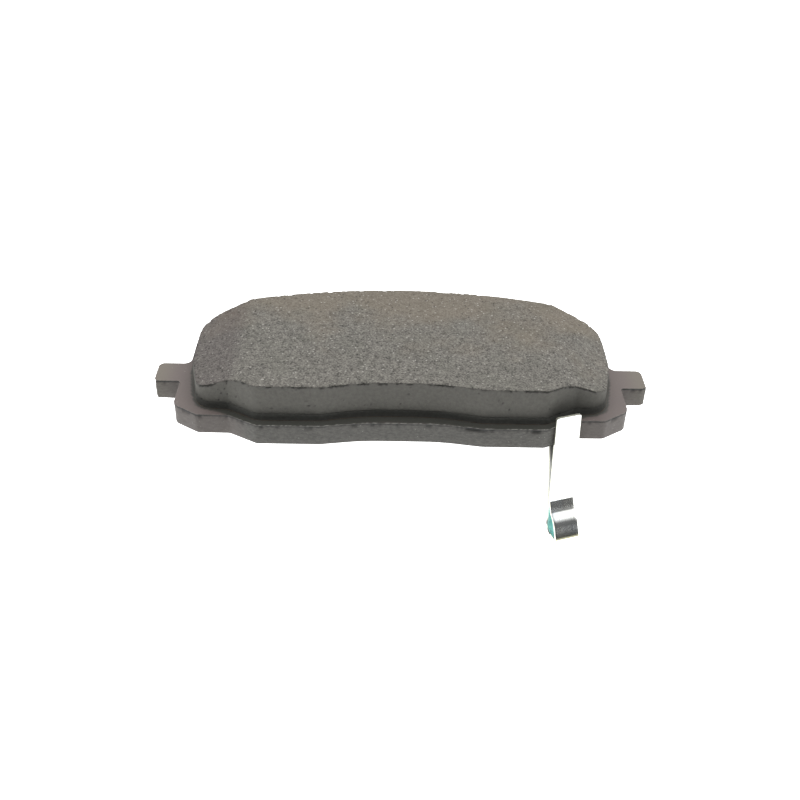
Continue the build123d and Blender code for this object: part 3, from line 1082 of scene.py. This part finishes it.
def make_floor():
    """A pale floor that glows a little, like a light table. It ends in front, short of the camera."""
    half = 1.5
    front = -0.12
    level = cad_box[0].z
    mesh = bpy.data.meshes.new("floor")
    corners = [(-half, front), (half, front), (half, half), (-half, half)]
    mesh.from_pydata([(x, y, level) for x, y in corners], [], [(0, 1, 2, 3)])
    floor = bpy.data.objects.new("floor", mesh)
    bpy.context.scene.collection.objects.link(floor)
    material, _, shader = new_material("floor")
    shader.inputs["Base Color"].default_value = (0.35, 0.35, 0.35, 1)
    shader.inputs["Roughness"].default_value = 1.0
    shader.inputs["Specular IOR Level"].default_value = 0.0
    shader.inputs["Emission Color"].default_value = (1, 1, 1, 1)
    shader.inputs["Emission Strength"].default_value = 1.9
    mesh.materials.append(material)


def make_light():
    """A pale tent lit from above and behind, and dark only in front, where the camera stands."""
    front_glow = 0.14
    backdrop = 1.3                      # what the camera itself sees of the tent, at the least
    world = bpy.data.worlds.new("tent")
    world.use_nodes = True
    bpy.context.scene.world = world
    tree = world.node_tree
    tree.nodes.clear()
    direction = add_node(tree, "ShaderNodeTexCoord").outputs["Generated"]
    axes = add_node(tree, "ShaderNodeSeparateXYZ", {"Vector": direction})
    x, y, z = (axes.outputs[i] for i in range(3))
    open_sky = rise(tree, y, -0.62, -0.2)
    from_side = combine(tree, "SUBTRACT", 1.2, scaled(tree, x, 0.8))
    from_above = scaled(tree, z, combine(tree, "ADD", 1.3, scaled(tree, x, 2.3)))
    level = scaled(tree, open_sky, combine(tree, "ADD", from_side, from_above))
    level = combine(tree, "ADD", level, front_glow)
    seen = scaled(tree, add_node(tree, "ShaderNodeLightPath").outputs["Is Camera Ray"], backdrop)
    background = add_node(tree, "ShaderNodeBackground", {"Strength": combine(tree, "MAXIMUM", level, seen)})
    output = add_node(tree, "ShaderNodeOutputWorld")
    tree.links.new(background.outputs[0], output.inputs["Surface"])


def make_camera():
    """A 45 mm lens, above the near edge and looking down across the rubbing face."""
    stand = Vector((-4.90, -247.74, 174.68)) * MM
    yaw, elevation, roll = (math.radians(a) for a in (-1.122, 35.861, 1.623))
    data = bpy.data.cameras.new("camera")
    data.lens = 45.0
    data.sensor_width = 36.0
    data.clip_start = 0.01
    camera = bpy.data.objects.new("camera", data)
    bpy.context.scene.collection.objects.link(camera)
    away = math.cos(elevation)
    back = Vector((math.sin(yaw) * away, -math.cos(yaw) * away, math.sin(elevation)))
    level = Vector((math.cos(yaw), math.sin(yaw), 0))
    up = back.cross(level)
    right = level * math.cos(roll) + up * math.sin(roll)
    top = up * math.cos(roll) - level * math.sin(roll)
    facing = Matrix((right, top, back)).transposed().to_4x4()
    camera.matrix_world = Matrix.Translation(stand) @ facing
    bpy.context.scene.camera = camera


def repaint_hidden_layers():
    """New materials for the bonding film and the four layers of the shim, which keep their CAD meshes."""
    rubber = plain_material("nitrile_coat", (0.022, 0.022, 0.023), (0.045, 0.045, 0.046), 0.8, (0.55, 0.75))
    glue = plain_material("bonding_film", (0.06, 0.04, 0.025), (0.12, 0.08, 0.05), 1.5, (0.4, 0.6))
    film = plain_material("shim_film", (0.25, 0.21, 0.13), (0.38, 0.32, 0.2), 2.0, (0.35, 0.5))
    sheet = plain_material("shim_sheet", (0.42, 0.43, 0.44), (0.58, 0.59, 0.6), 3.0, (0.25, 0.4), 1.0)
    repaint("bonding_adhesive", glue)
    repaint("shim_adhesive", film)
    repaint("shim_inner_rubber", rubber)
    repaint("shim_outer_rubber", rubber)
    repaint("shim_steel", sheet)


def main():
    make_camera()
    make_light()
    make_floor()
    make_friction_block(friction_material())
    make_underlayer(underlayer_material())
    make_plate(plate_material())
    make_strip(zinc_material())
    make_rivet(plain_material("rivet_zinc", (0.5, 0.5, 0.47), (0.68, 0.68, 0.65), 1.2, (0.25, 0.45), 1.0))
    repaint_hidden_layers()


main()
bpy.context.scene.view_settings.view_transform = "Standard"
